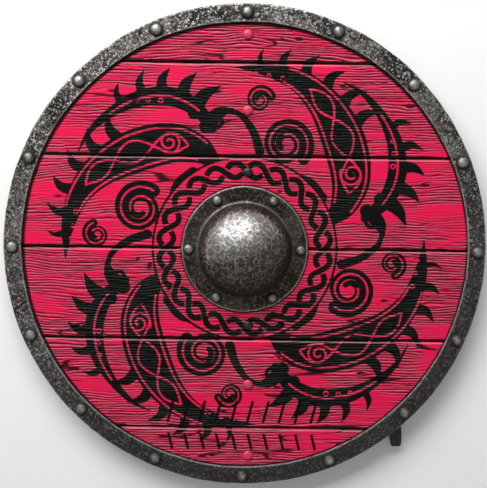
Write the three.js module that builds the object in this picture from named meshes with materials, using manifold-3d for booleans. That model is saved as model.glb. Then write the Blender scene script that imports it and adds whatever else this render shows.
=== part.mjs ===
// A round wooden shield lying on its back, boss up.
// Six horizontal planks make a flat disc, a U-shaped steel band wraps its edge, and an iron boss
// covers the hand hole. A wooden batten across the back ties the planks and is the hand grip.
// Millimetres, +Z up and out of the front face, +Y towards the shield's top, and the origin on
// the surface that the batten rests on, under the middle of the disc.
import * as THREE from "three";
import { mergeVertices } from "three/addons/utils/BufferGeometryUtils.js";
import Module from "manifold-3d";

const wasm = await Module();
wasm.setup();

// Clearances
const SEAT_GAP = 0.3; // between faces that rest on each other
const HOLE_GAP = 0.3; // round a shank in its hole, on the radius
const OVERCUT = 1; // how far a cutter runs past the face that it starts from

// Disc of planks
const SHIELD_RADIUS = 305; // to the outside of the steel band
const BOARD_THICKNESS = 12;
const BOARD_COUNT = 6;
const OUTERMOST_BOARD = 70.7; // width of the top and the bottom board, and the others share the rest
const JOINT_GAP = 0.6;
const JOINT_CHAMFER = 1.9; // broken edge on the front of each joint

// Steel band round the edge
const BAND_WIDTH = 22.7; // of the front and the back flange
const BAND_SHEET = 2;
const BAND_EDGE_CHAMFER = 0.8;
const BAND_RIVET_COUNT = 16;

// Boss
const DOME_RADIUS = 57.8;
const DOME_HEIGHT = 50; // above the top of the flange
const DOME_FILLET = 4; // where the dome runs out into the flange
const BOSS_FLANGE_WIDTH = 22.2;
const BOSS_SHEET = 2;
const BOSS_EDGE_CHAMFER = 0.7;
const BOSS_RIVET_COUNT = 6;
const HAND_HOLE_MARGIN = 3.8; // from the inside of the dome to the hole in the boards

// Rivets, nails and tacks, which all have domed heads
const RIVET = { head: 8, height: 5, shank: 2, tail: 4.5, tailHeight: 1.5 };
const BOSS_RIVET = { head: 7, height: 4.6, shank: 2, tail: 4.5, tailHeight: 1.5 };
const NAIL = { head: 6.3, height: 3.6, shank: 1.8 };
const TACK = { head: 4.5, height: 2.4, shank: 1.2 };
const TACK_LENGTH = 12;
const NAIL_TIP_COVER = 4; // wood left behind the point of a batten nail
const NAIL_TO_BOSS = 11; // least gap from the boss flange to the head of a nail
const NAIL_TO_BAND = 8; // least gap from the band to the head of a nail

// Batten across the back, with the grip in its middle
const BATTEN_THICKNESS = 18;
const BATTEN_WIDTH = 36;
const BATTEN_ROUNDING = 3;
const BATTEN_END_GAP = 4; // from the batten's corners to the band
const BATTEN_OFFSET = 4; // its middle, to the right of the shield's
const BATTEN_LEAN = 0.7; // degrees anticlockwise, as it was set by hand
const GRIP_WIDTH = 29;
const GRIP_HALF_LENGTH = 58;
const GRIP_RUN_OUT = 34; // length over which the grip widens to the batten

// Leather carrying strap on the back
const STRAP_INSET = 110; // its middle, in from the shield's right edge
const STRAP_WIDTH = 18;
const STRAP_THICKNESS = 3;
const STRAP_TAIL_REACH = 20; // past the band, at the lower end
const STRAP_TAIL_WIDTH = 10;
const STRAP_TAIL_TAPER = 26;
const STRAP_STEP_RUN = 22; // length over which it steps down to pass the band
const STRAP_END_GAP = 10; // from its upper end to the band
const TACK_FROM_END = 11;
const TACK_SPACING = 20;

// Carved strokes in the two lowest boards, in two rows that lean opposite ways
const STROKE = { width: 2.4, depth: 1.3, lean: 14 };
const STROKE_SPACING = 20.5;
const STROKE_ROW_HALF_LENGTH = 93;
const STROKE_FROM_JOINT = 8; // from the lowest joint to the nearer end of a stroke
const UPPER_STROKE_LENGTH = 27;
const LOWER_STROKE_LENGTH = 19;

// Facets
const DISC_SIDES = 72;
const BOSS_SIDES = 36;
const HAND_HOLE_SIDES = 32;
const HEAD_SIDES = 10;
const HOLE_SIDES = 6;

// Levels and radii that follow from the sizes above
const boardBack = BATTEN_THICKNESS + SEAT_GAP;
const boardFront = boardBack + BOARD_THICKNESS;
const boardRadius = SHIELD_RADIUS - BAND_SHEET - SEAT_GAP;
const bandFrontFace = boardFront + SEAT_GAP + BAND_SHEET;
const bandBackFace = boardBack - SEAT_GAP - BAND_SHEET;
const bandInnerRadius = SHIELD_RADIUS - BAND_WIDTH;
const bandRivetRadius = SHIELD_RADIUS - BAND_WIDTH / 2;
const flangeFace = boardFront + SEAT_GAP + BOSS_SHEET;
const flangeRadius = DOME_RADIUS + BOSS_FLANGE_WIDTH;
const bossRivetRadius = (DOME_RADIUS + DOME_FILLET + flangeRadius) / 2;
const handHoleRadius = DOME_RADIUS - BOSS_SHEET - HAND_HOLE_MARGIN;
const strapFace = boardBack - SEAT_GAP;
const tackSeat = strapFace - STRAP_THICKNESS - SEAT_GAP;

const finishes = {
  paintedWood: new THREE.MeshStandardMaterial({ color: 0xc8264c, roughness: 0.62 }),
  bareWood: new THREE.MeshStandardMaterial({ color: 0x6b4a2f, roughness: 0.75 }),
  blackenedSteel: new THREE.MeshStandardMaterial({ color: 0x56544f, roughness: 0.48, metalness: 0.9 }),
  paintedNail: new THREE.MeshStandardMaterial({ color: 0xd83a5f, roughness: 0.5 }),
  leather: new THREE.MeshStandardMaterial({ color: 0x2b1a12, roughness: 0.7 }),
};

// Tools for solids

// A closed three.js geometry as a solid that can be cut and joined.
function solid(geometry) {
  const bare = geometry.clone();
  bare.deleteAttribute("normal");
  bare.deleteAttribute("uv");
  const merged = mergeVertices(bare, 1e-4);
  return new wasm.Manifold(
    new wasm.Mesh({
      numProp: 3,
      vertProperties: merged.getAttribute("position").array,
      triVerts: new Uint32Array(merged.index.array),
    }),
  );
}

// A solid as a named mesh.
function named(name, made, finish) {
  const { vertProperties, triVerts } = made.getMesh();
  const geometry = new THREE.BufferGeometry();
  geometry.setAttribute("position", new THREE.BufferAttribute(vertProperties, 3));
  geometry.setIndex(new THREE.BufferAttribute(triVerts, 1));
  geometry.computeVertexNormals();
  const mesh = new THREE.Mesh(geometry, finish);
  mesh.name = name;
  return mesh;
}

function cut(made, cutters) {
  return made.subtract(wasm.Manifold.union(cutters));
}

// A body of revolution about Z from [radius, height] points, counterclockwise in that plane.
function turned(points, sides) {
  const profile = points.map(([r, z]) => new THREE.Vector2(r, z));
  return new THREE.LatheGeometry(profile, sides).rotateX(Math.PI / 2);
}

// An upright round bar between two heights.
function bar(radius, low, high, sides) {
  return turned([[0, low], [radius, low], [radius, high], [0, high]], sides);
}

// A shape drawn in Y and Z, run along X from one place to another.
function runAlongX(shape, from, to) {
  const drawnToPlaced = new THREE.Matrix4().makeBasis(
    new THREE.Vector3(0, 1, 0),
    new THREE.Vector3(0, 0, 1),
    new THREE.Vector3(1, 0, 0),
  );
  const geometry = new THREE.ExtrudeGeometry(shape, { depth: to - from, bevelEnabled: false });
  return geometry.applyMatrix4(drawnToPlaced).translate(from, 0, 0);
}

function outline(points) {
  return new THREE.Shape(points.map(([x, y]) => new THREE.Vector2(x, y)));
}

// Points of a quarter ellipse from its crown, on the axis, out and down to its foot.
function quarterArc(radius, rise, foot, steps) {
  return Array.from({ length: steps + 1 }, (_, i) => {
    const turn = (i / steps) * (Math.PI / 2);
    return [radius * Math.sin(turn), foot + rise * Math.cos(turn)];
  });
}

// A domed fastener, its head's underside at height 0 and its shank below. One with a tail is a
// rivet, peened over where its grip ends, and one without is a nail with a point.
function fastener({ head, height, shank, tail, tailHeight }, grip) {
  const dome = quarterArc(head, height, 0, 3);
  const end = tail
    ? [[shank, -grip], [tail, -grip], [0, -grip - tailHeight]]
    : [[shank, 3 * shank - grip], [0, -grip]];
  return turned([...dome, [shank, 0], ...end].reverse(), HEAD_SIDES);
}

// An upright hole for a shank.
function shankHole([x, y], shank, low, high) {
  return solid(bar(shank + HOLE_GAP, low, high, HOLE_SIDES).translate(x, y, 0));
}

// Where things stand

// Heights in Y of the joints between boards, from the lowest up.
function jointHeights() {
  const highest = boardRadius - OUTERMOST_BOARD;
  const pitch = (2 * highest) / (BOARD_COUNT - 2);
  return Array.from({ length: BOARD_COUNT - 1 }, (_, i) => i * pitch - highest);
}

// Places spaced evenly round a circle, the first at the shield's right.
function ring(count, radius) {
  return Array.from({ length: count }, (_, i) => {
    const turn = (i / count) * 2 * Math.PI;
    return [radius * Math.cos(turn), radius * Math.sin(turn)];
  });
}

// The place on the batten's middle line at one height in Y.
function onBatten(y) {
  return [BATTEN_OFFSET - y * Math.tan(THREE.MathUtils.degToRad(BATTEN_LEAN)), y];
}

// One nail to a board, in the board's middle but clear of the boss and the band.
function nailPlace([low, high]) {
  const nearest = flangeRadius + NAIL_TO_BOSS + NAIL.head;
  const furthest = bandInnerRadius - NAIL_TO_BAND - NAIL.head;
  const middle = (low + high) / 2;
  const fromCentre = Math.min(Math.max(Math.abs(middle), nearest), furthest);
  return onBatten(Math.sign(middle) * fromCentre);
}

const joints = jointHeights();
const boardEdges = [...joints, boardRadius]
  .map((top, i) => [i ? joints[i - 1] : -boardRadius, top])
  .reverse();
const bandRivets = ring(BAND_RIVET_COUNT, bandRivetRadius);
const bossRivets = ring(BOSS_RIVET_COUNT, bossRivetRadius);
const nails = boardEdges.map(nailPlace);

const strapX = SHIELD_RADIUS - STRAP_INSET;
const strapTop = Math.sqrt(bandInnerRadius ** 2 - (strapX + STRAP_WIDTH / 2) ** 2) - STRAP_END_GAP;
const strapStepStart = STRAP_STEP_RUN - strapTop;
const strapTailEnd = -Math.sqrt(SHIELD_RADIUS ** 2 - strapX ** 2) - STRAP_TAIL_REACH;
const tacks = [
  strapTop - TACK_FROM_END,
  strapTop - TACK_FROM_END - TACK_SPACING,
  strapStepStart + TACK_FROM_END + TACK_SPACING,
  strapStepStart + TACK_FROM_END,
].map((y) => [strapX, y]);

// Boards

// Thin wedges, point down, in a row on each side of the lowest joint.
function strokeCutters() {
  const wedge = outline([[-STROKE.width / 2, 0], [0, -STROKE.depth], [STROKE.width / 2, 0], [0, OVERCUT]]);
  const lean = THREE.MathUtils.degToRad(STROKE.lean);
  const stroke = (x, y, length, turn) =>
    solid(runAlongX(wedge, -length / 2, length / 2).rotateZ(Math.PI / 2 + turn).translate(x, y, boardFront));
  const upper = joints[0] + STROKE_FROM_JOINT + UPPER_STROKE_LENGTH / 2;
  const lower = joints[0] - STROKE_FROM_JOINT - LOWER_STROKE_LENGTH / 2;
  const cutters = [];
  for (let x = -STROKE_ROW_HALF_LENGTH; x <= STROKE_ROW_HALF_LENGTH; x += STROKE_SPACING) {
    cutters.push(stroke(x, upper, UPPER_STROKE_LENGTH, -lean));
    cutters.push(stroke(x, lower, LOWER_STROKE_LENGTH, lean));
  }
  return cutters;
}

// Everything taken out of the boards: the hand hole, the strokes and a hole for each shank.
function boardCutters() {
  const below = boardBack - OVERCUT;
  const above = boardFront + OVERCUT;
  const tackTip = tackSeat + TACK_LENGTH + HOLE_GAP;
  return [
    solid(bar(handHoleRadius, below, above, HAND_HOLE_SIDES)),
    ...strokeCutters(),
    ...bandRivets.map((place) => shankHole(place, RIVET.shank, below, above)),
    ...bossRivets.map((place) => shankHole(place, BOSS_RIVET.shank, below, above)),
    ...nails.map((place) => shankHole(place, NAIL.shank, below, above)),
    ...tacks.map((place) => shankHole(place, TACK.shank, below, tackTip)),
  ];
}

// Each plank is a strip with its front edges broken at the joints, cut to the disc.
function boardSolids() {
  const disc = solid(bar(boardRadius, boardBack, boardFront, DISC_SIDES));
  const cutters = boardCutters();
  return boardEdges.map(([low, high]) => {
    const bottom = low + (low > -boardRadius ? JOINT_GAP / 2 : -OVERCUT);
    const top = high - (high < boardRadius ? JOINT_GAP / 2 : -OVERCUT);
    const strip = outline([
      [bottom, boardBack],
      [top, boardBack],
      [top, boardFront - JOINT_CHAMFER],
      [top - JOINT_CHAMFER, boardFront],
      [bottom + JOINT_CHAMFER, boardFront],
      [bottom, boardFront - JOINT_CHAMFER],
    ]);
    return cut(solid(runAlongX(strip, -SHIELD_RADIUS, SHIELD_RADIUS)).intersect(disc), cutters);
  });
}

// Steel band: a U turned on its side, open towards the middle and drilled for its rivets
function bandSolid() {
  const innerWall = SHIELD_RADIUS - BAND_SHEET;
  const section = turned(
    [
      [bandInnerRadius, bandBackFace],
      [SHIELD_RADIUS - BAND_EDGE_CHAMFER, bandBackFace],
      [SHIELD_RADIUS, bandBackFace + BAND_EDGE_CHAMFER],
      [SHIELD_RADIUS, bandFrontFace - BAND_EDGE_CHAMFER],
      [SHIELD_RADIUS - BAND_EDGE_CHAMFER, bandFrontFace],
      [bandInnerRadius + BAND_EDGE_CHAMFER, bandFrontFace],
      [bandInnerRadius, bandFrontFace - BAND_EDGE_CHAMFER],
      [bandInnerRadius, bandFrontFace - BAND_SHEET],
      [innerWall, bandFrontFace - BAND_SHEET],
      [innerWall, bandBackFace + BAND_SHEET],
      [bandInnerRadius, bandBackFace + BAND_SHEET],
      [bandInnerRadius, bandBackFace],
    ],
    DISC_SIDES,
  );
  const low = bandBackFace - OVERCUT;
  const high = bandFrontFace + OVERCUT;
  return cut(solid(section), bandRivets.map((place) => shankHole(place, RIVET.shank, low, high)));
}

// Boss: a shell with its crown on the axis, a small fillet at its foot and a flat flange
function bossSolid() {
  const springing = flangeFace + DOME_FILLET;
  const rise = DOME_HEIGHT - DOME_FILLET;
  const runOut = (radius, fillet) =>
    [1, 2].map((step) => {
      const turn = (step / 2) * (Math.PI / 2);
      return [radius + fillet * (1 - Math.cos(turn)), springing - fillet * Math.sin(turn)];
    });
  const profile = [
    ...quarterArc(DOME_RADIUS, rise, springing, 8),
    ...runOut(DOME_RADIUS, DOME_FILLET),
    [flangeRadius - BOSS_EDGE_CHAMFER, flangeFace],
    [flangeRadius, flangeFace - BOSS_EDGE_CHAMFER],
    [flangeRadius, flangeFace - BOSS_SHEET],
    ...runOut(DOME_RADIUS - BOSS_SHEET, DOME_FILLET + BOSS_SHEET).reverse(),
    ...quarterArc(DOME_RADIUS - BOSS_SHEET, rise - BOSS_SHEET, springing, 6).reverse(),
  ];
  const low = flangeFace - BOSS_SHEET - OVERCUT;
  const high = flangeFace + OVERCUT;
  const holes = bossRivets.map((place) => shankHole(place, BOSS_RIVET.shank, low, high));
  return cut(solid(turned(profile.reverse(), BOSS_SIDES)), holes);
}

// Batten: a flat bar with rounded edges, narrowed in the middle where a hand closes round it
function battenSolid() {
  const half = BATTEN_WIDTH / 2;
  const grip = GRIP_WIDTH / 2;
  const waist = GRIP_HALF_LENGTH - GRIP_RUN_OUT;
  const reach = bandInnerRadius - BATTEN_END_GAP;
  const end = Math.sqrt(reach ** 2 - (half + Math.abs(onBatten(reach)[0])) ** 2);
  const runOut = new THREE.CubicBezierCurve(
    new THREE.Vector2(half, GRIP_HALF_LENGTH),
    new THREE.Vector2(half, GRIP_HALF_LENGTH - GRIP_RUN_OUT / 2),
    new THREE.Vector2(grip, waist + GRIP_RUN_OUT / 2),
    new THREE.Vector2(grip, waist),
  );
  const quarter = [[half, end], ...runOut.getPoints(4).map((point) => point.toArray())];
  const mirrored = (x, y) => quarter.map((point) => [point[0] * x, point[1] * y]);
  const plan = outline([
    ...mirrored(1, 1),
    ...mirrored(1, -1).reverse(),
    ...mirrored(-1, -1),
    ...mirrored(-1, 1).reverse(),
  ]);
  const geometry = new THREE.ExtrudeGeometry(plan, {
    depth: BATTEN_THICKNESS - 2 * BATTEN_ROUNDING,
    bevelThickness: BATTEN_ROUNDING,
    bevelSize: BATTEN_ROUNDING,
    bevelOffset: -BATTEN_ROUNDING,
    bevelSegments: 2,
  });
  geometry
    .translate(0, 0, BATTEN_ROUNDING)
    .rotateZ(THREE.MathUtils.degToRad(BATTEN_LEAN))
    .translate(BATTEN_OFFSET, 0, 0);
  const low = NAIL_TIP_COVER - HOLE_GAP;
  const high = BATTEN_THICKNESS + OVERCUT;
  return cut(solid(geometry), nails.map((place) => shankHole(place, NAIL.shank, low, high)));
}

// Strap: flat leather against the boards, which steps down past the band and its rivets and
// tapers to a tail outside the edge
function strapSolid() {
  const stepped = bandBackFace - SEAT_GAP - RIVET.tailHeight - SEAT_GAP;
  const stepEnd = -strapTop;
  const side = outline([
    [strapTop, strapFace - STRAP_THICKNESS],
    [strapTop, strapFace],
    [strapStepStart, strapFace],
    [stepEnd, stepped],
    [strapTailEnd, stepped],
    [strapTailEnd, stepped - STRAP_THICKNESS],
    [stepEnd, stepped - STRAP_THICKNESS],
    [strapStepStart, strapFace - STRAP_THICKNESS],
  ]);
  const half = STRAP_WIDTH / 2;
  const tip = STRAP_TAIL_WIDTH / 2;
  const plan = new THREE.Shape();
  plan.moveTo(-half, strapTop);
  plan.lineTo(-half, strapTailEnd + STRAP_TAIL_TAPER);
  plan.lineTo(-tip, strapTailEnd + tip / 2);
  plan.quadraticCurveTo(-tip, strapTailEnd, 0, strapTailEnd);
  plan.quadraticCurveTo(tip, strapTailEnd, tip, strapTailEnd + tip / 2);
  plan.lineTo(half, strapTailEnd + STRAP_TAIL_TAPER);
  plan.lineTo(half, strapTop);
  const upright = new THREE.ExtrudeGeometry(plan, { curveSegments: 3, depth: boardBack, bevelEnabled: false });
  const made = solid(runAlongX(side, strapX - STRAP_WIDTH, strapX + STRAP_WIDTH));
  const low = strapFace - STRAP_THICKNESS - OVERCUT;
  const high = strapFace + OVERCUT;
  const holes = tacks.map((place) => shankHole(place, TACK.shank, low, high));
  return cut(made.intersect(solid(upright.translate(strapX, 0, 0))), holes);
}

// Rivets, nails and tacks: one set of like fasteners, each a mesh of its own
function fastenerSet(prefix, places, geometry, level, finish) {
  const digits = String(places.length).length;
  return places.map(([x, y], i) => {
    const mesh = new THREE.Mesh(geometry, finish);
    mesh.name = prefix + String(i + 1).padStart(digits, "0");
    mesh.position.set(x, y, level);
    return mesh;
  });
}

const bandGrip = bandFrontFace - bandBackFace + 2 * SEAT_GAP;
const bossGrip = flangeFace - boardBack + 2 * SEAT_GAP;
const nailLength = boardFront + SEAT_GAP - NAIL_TIP_COVER;
const rivet = fastener(RIVET, bandGrip);
const bossRivet = fastener(BOSS_RIVET, bossGrip);
const nail = fastener(NAIL, nailLength);
const tack = fastener(TACK, TACK_LENGTH).rotateX(Math.PI);

const shield = new THREE.Group();
shield.add(
  ...boardSolids().map((made, i) => named("board_" + (i + 1), made, finishes.paintedWood)),
  named("rim", bandSolid(), finishes.blackenedSteel),
  named("boss", bossSolid(), finishes.blackenedSteel),
  named("batten", battenSolid(), finishes.bareWood),
  named("strap", strapSolid(), finishes.leather),
  ...fastenerSet("rim_rivet_", bandRivets, rivet, bandFrontFace + SEAT_GAP, finishes.blackenedSteel),
  ...fastenerSet("boss_rivet_", bossRivets, bossRivet, flangeFace + SEAT_GAP, finishes.blackenedSteel),
  ...fastenerSet("batten_nail_", nails, nail, boardFront + SEAT_GAP, finishes.paintedNail),
  ...fastenerSet("strap_tack_", tacks, tack, tackSeat, finishes.blackenedSteel),
);

export default shield;
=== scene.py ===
"""Dresses a round plank shield for a studio picture, laid out as an add-on and run as a script.

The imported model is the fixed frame. Each plank, the hammered band, the boss, the rivets, the nails,
the batten and the strap get a finely modelled piece of their own, and each has its own material.
"""

import math

import bpy
import numpy as np
from mathutils import Matrix, Vector, kdtree


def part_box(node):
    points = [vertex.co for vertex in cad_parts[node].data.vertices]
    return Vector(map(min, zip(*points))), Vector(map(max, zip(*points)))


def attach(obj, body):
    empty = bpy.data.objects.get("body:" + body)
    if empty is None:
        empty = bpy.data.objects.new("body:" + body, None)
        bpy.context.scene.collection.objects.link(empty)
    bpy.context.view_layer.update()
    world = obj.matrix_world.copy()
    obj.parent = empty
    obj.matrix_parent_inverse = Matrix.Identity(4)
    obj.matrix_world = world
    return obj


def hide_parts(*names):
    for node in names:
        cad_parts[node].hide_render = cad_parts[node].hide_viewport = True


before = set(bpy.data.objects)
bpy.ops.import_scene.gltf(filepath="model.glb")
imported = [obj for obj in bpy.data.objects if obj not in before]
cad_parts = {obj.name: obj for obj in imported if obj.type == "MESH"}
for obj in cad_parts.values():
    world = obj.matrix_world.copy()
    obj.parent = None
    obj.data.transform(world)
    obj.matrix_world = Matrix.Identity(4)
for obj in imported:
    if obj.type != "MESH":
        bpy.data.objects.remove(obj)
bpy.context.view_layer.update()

bl_info = {
    "name": "Round Shield",
    "version": (1, 0, 0),
    "blender": (4, 5, 0),
    "location": "View3D > Sidebar > Shield",
    "description": "Models and finishes a round wooden shield around its packed solids",
    "category": "Object",
}

MM = 0.001
ROOT = "root"


def linear(hex_colour):
    """An sRGB hex colour as linear red, green, blue and alpha."""
    channels = [int(hex_colour[i : i + 2], 16) / 255 for i in (1, 3, 5)]
    return [c / 12.92 if c <= 0.04045 else ((c + 0.055) / 1.055) ** 2.4 for c in channels] + [1.0]


# Places and sizes read from the frame, in millimetres


def node_box(node):
    """A node's lowest and highest corners."""
    low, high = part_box(node)
    return [v / MM for v in low], [v / MM for v in high]


def numbered(prefix):
    """The frame's nodes of one kind, in order."""
    return sorted(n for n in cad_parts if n.startswith(prefix) and n[len(prefix) :].isdigit())


def middle(node):
    """The middle of a node, seen from the front."""
    low, high = node_box(node)
    return (low[0] + high[0]) / 2, (low[1] + high[1]) / 2


BOARDS = numbered("board_")
RIM_RIVETS = numbered("rim_rivet_")
BOSS_RIVETS = numbered("boss_rivet_")
NAILS = numbered("batten_nail_")
TACKS = numbered("strap_tack_")

RIM_LOW, RIM_HIGH = node_box("rim")
BOSS_LOW, BOSS_HIGH = node_box("boss")
BATTEN_LOW, BATTEN_HIGH = node_box("batten")
STRAP_LOW, STRAP_HIGH = node_box("strap")
BOARD_BACK = node_box(BOARDS[0])[0][2]
BOARD_FRONT = node_box(BOARDS[0])[1][2]
BOARD_RADIUS = node_box(BOARDS[0])[1][1]
RIM_RADIUS = RIM_HIGH[0]
FLANGE_RADIUS = BOSS_HIGH[0]
LOWEST_JOINT = node_box(BOARDS[-1])[1][1]

# Sizes of the pieces' sections, in millimetres
SEAT_GAP = 0.3
SHEET = 2.0
BAND_WIDTH = 22.7
BAND_INNER = RIM_RADIUS - BAND_WIDTH
BAND_CORNER = 1.2
DOME_RADIUS = 57.8
DOME_FILLET = 4.0
FLANGE_FACE = BOSS_LOW[2] + SHEET
HAND_HOLE_RADIUS = 52.0
BATTEN_LEAN = math.radians(0.7)
BATTEN_OFFSET = 4.0
BATTEN_WIDTH = 36.0
BATTEN_ROUNDING = 2.8
GRIP_WIDTH = 29.0
GRIP_HALF_LENGTH = 58.0
GRIP_RUN_OUT = 34.0
STRAP_THICKNESS = 3.0
STRAP_ROUNDING = 0.7
STRAP_STEP_RUN = 22.0
TAIL_LENGTHENED = 4.5  # past the solid's tip
TAIL_HALF_WIDTH = 7.0
TAIL_WIDENING = 2.0
TAIL_TAPER = 26.0
TAIL_BEND = 6.8
TAIL_BEND_LENGTH = 60.0
TAIL_ROUNDING = 3.0

# Fasteners, each with its head's radius and height and its shank's radius, in millimetres
BAND_RIVET = {"head": 8.0, "height": 5.0, "shank": 2.0}
FLANGE_RIVET = {"head": 7.0, "height": 4.6, "shank": 2.0}
NAIL = {"head": 6.3, "height": 3.6, "shank": 1.8}
TACK = {"head": 4.5, "height": 2.4, "shank": 1.2}
NAIL_POINT = 5.4
NAIL_TIP_COVER = 4.0  # wood left behind a nail's tip
TACK_POINT = 3.0
TACK_LENGTH = 12.0
HEAD_FOOT = 0.3  # hammer marks stop this far over a head's seat

# Carved strokes, in two rows beside the lowest joint
STROKE_HALF_WIDTH = 1.9
STROKE_DEPTH = 1.5
STROKE_LEAN = math.radians(14)
STROKE_SPACING = 20.5
STROKE_COUNT = 10
STROKE_FIRST = -93.0
STROKE_PLACES = STROKE_FIRST + STROKE_SPACING * np.arange(STROKE_COUNT)
STROKE_ROWS = ((8.0, 27.0, 1), (-27.0, 19.0, -1))  # lower end from the joint, length, way it leans


def size_setting(name, description, millimetres):
    """A size of the surface detail that a user can change."""
    return bpy.props.FloatProperty(
        name=name, description=description, default=millimetres * MM, unit="LENGTH"
    )


def colour_setting(name, description, hex_colour):
    """A colour that a user can change."""
    return bpy.props.FloatVectorProperty(
        name=name, description=description, size=4, subtype="COLOR", default=linear(hex_colour)
    )


class ShieldSizes(bpy.types.PropertyGroup):
    """Sizes of the surface detail."""

    column: size_setting("Plank Column", "Spacing of the plank mesh along the grain", 1.9)
    row: size_setting("Plank Row", "Spacing of the plank mesh across the grain", 0.6)
    groove: size_setting("Groove Depth", "Depth of the deepest brushed-out grain lines", 0.9)
    arris: size_setting("Arris", "Width of the rounded plank edge at a joint", 2.8)
    dent: size_setting("Dent Width", "Width of a hammer mark in the steel", 3.4)
    dent_depth: size_setting("Dent Depth", "Depth of a hammer mark in the steel", 0.28)


class ShieldColours(bpy.types.PropertyGroup):
    """Colours of the paint, steel, wood and leather."""

    paint: colour_setting("Field Paint", "Rose red field", "#e4154c")
    paint_worn: colour_setting("Worn Paint", "Rubbed red", "#c52e52")
    design: colour_setting("Design Paint", "Black knotwork", "#080a08")
    groove: colour_setting("Groove", "Dirt in the grain", "#25060c")
    steel: colour_setting("Band Steel", "Blackened band", "#716c67")
    iron: colour_setting("Boss Iron", "Blackened boss", "#4e4843")
    wood: colour_setting("Bare Wood", "Oiled batten", "#7a5533")
    leather: colour_setting("Leather", "Dark strap", "#2e1c14")


# Noise for the surfaces, the same each run


def turned(x, y, angle):
    """Places turned anticlockwise about the axis."""
    c, s = math.cos(angle), math.sin(angle)
    return x * c - y * s, x * s + y * c


def smooth_step(low, high, value):
    """Eases from 0 at low to 1 at high."""
    t = np.clip((value - low) / (high - low), 0, 1)
    return t * t * (3 - 2 * t)


LATTICE = 256  # a power of two: the noise repeats after this many steps


def noise(x, y, seed):
    """Smooth random values from -1 to 1, one to a lattice step of 1, for arrays of places."""
    table = np.random.default_rng(seed).random((LATTICE, LATTICE)) * 2 - 1
    left, low = np.floor(x).astype(int), np.floor(y).astype(int)
    u, v = x - left, y - low
    u, v = u * u * (3 - 2 * u), v * v * (3 - 2 * v)

    def corner(i, j):
        return table[(left + i) & (LATTICE - 1), (low + j) & (LATTICE - 1)]

    bottom = corner(0, 0) * (1 - u) + corner(1, 0) * u
    top = corner(0, 1) * (1 - u) + corner(1, 1) * u
    return bottom * (1 - v) + top * v


# Small knots in the planks: place and radius
KNOTS = ((-168, 196, 3.2), (205, 181, 2.6), (228, 84, 3.0), (-236, 64, 2.8), (-96, -52, 2.4))
KNOTS += ((178, -64, 2.4), (150, -158, 3.0), (-132, -196, 2.6), (64, 262, 2.2), (-40, -268, 2.0))

GRAIN_PITCH = 3.4  # from one line of late wood to the next


def grain_height(x, y, seed):
    """A place's height across the grain, in millimetres, bent by its waves and knots."""
    across = y + 5 * noise(x / 170, y / 80, seed) + 0.9 * noise(x / 36, y / 14, seed + 1)
    eyes = np.zeros_like(x)
    for knot_x, knot_y, radius in KNOTS:
        dx, dy = (x - knot_x) / 2.2, y - knot_y
        squared = dx * dx + dy * dy
        across = across - dy * radius * radius / (squared + radius * radius * 0.3)
        eyes = np.maximum(eyes, np.exp(-squared / (2 * (0.45 * radius) ** 2)))
    return across, eyes


def grain_lines(x, across, pitch, width, seed):
    """Grooves one pitch apart that start and stop by themselves, and the ridge under each, from 0 to 1."""
    lane = across / pitch + 0.55 * noise(x / 34, across / 9, seed)
    lane = lane + 0.12 * noise(x / 9, across / 4, seed + 9)
    index = np.floor(lane)
    share = lane - index
    present = smooth_step(-0.85, -0.42, noise(x / 26 + 13.7 * index, index * 5.31, seed + 1))
    groove = np.clip(1 - np.abs(share - 0.5) / width, 0, 1) * present
    ridge = np.clip(1 - np.abs(share - 0.16) / 0.22, 0, 1) * present
    return groove, ridge


def grain_wear(x, across, seed):
    """How far the paint is brushed out, from 0 where it lies full to 1 in the worn patches."""
    patches = noise(x / 85, across / 24, seed + 2) + 0.4 * noise(x / 30, across / 8, seed + 6)
    return smooth_step(-1.1, 0.1, patches)


def grain_depth(x, across, eyes, worn, seed):
    """Depth of the brushed-out grain, from 0 to 1 in the deepest groove, and height of its ridges."""
    left = 0.1 + 0.9 * worn
    main, ridge = grain_lines(x, across, GRAIN_PITCH, 0.26, seed + 3)
    fine, _ = grain_lines(x, across, 0.62 * GRAIN_PITCH, 0.3, seed + 12)
    main, ridge, fine = main * left, ridge * left, fine * 0.4 * worn
    cracks = np.clip(1 - np.abs(noise(x / 90, across / 9, seed + 4)) / 0.09, 0, 1)
    cracks = cracks * smooth_step(0.0, 0.4, noise(x / 45, across / 14, seed + 5))
    return np.clip(np.maximum(np.maximum(main, fine), cracks) + eyes * 0.8, 0, 1), ridge


# The painted knotwork, as distances in millimetres that are negative in the black


def smooth_curve(points, steps=8):
    """A smooth open line through points of any number of values each."""
    p = np.array(points, float)
    p = np.vstack([2 * p[0] - p[1], p, 2 * p[-1] - p[-2]])
    t = np.linspace(0, 1, steps, endpoint=False)[:, None]
    out = []
    for a, b, c, d in zip(p[:-3], p[1:-2], p[2:-1], p[3:]):
        square, cube = 2 * a - 5 * b + 4 * c - d, 3 * b - a - 3 * c + d
        out.append(0.5 * (2 * b + (c - a) * t + square * t**2 + cube * t**3))
    return np.vstack([*out, p[-2:-1]])


def spiral(cx, cy, start_radius, end_radius, start_turn, turns, start_width, end_width):
    """A scroll as [x, y, half width] points, wound about a centre."""
    t = np.linspace(0, 1, int(28 * abs(turns)) + 8)
    angle = 2 * math.pi * (start_turn + turns * t)
    radius = start_radius + (end_radius - start_radius) * t
    width = start_width + (end_width - start_width) * t
    return np.column_stack([cx + radius * np.cos(angle), cy + radius * np.sin(angle), width])


FAR = 8.0  # no distance is followed past this


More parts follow.
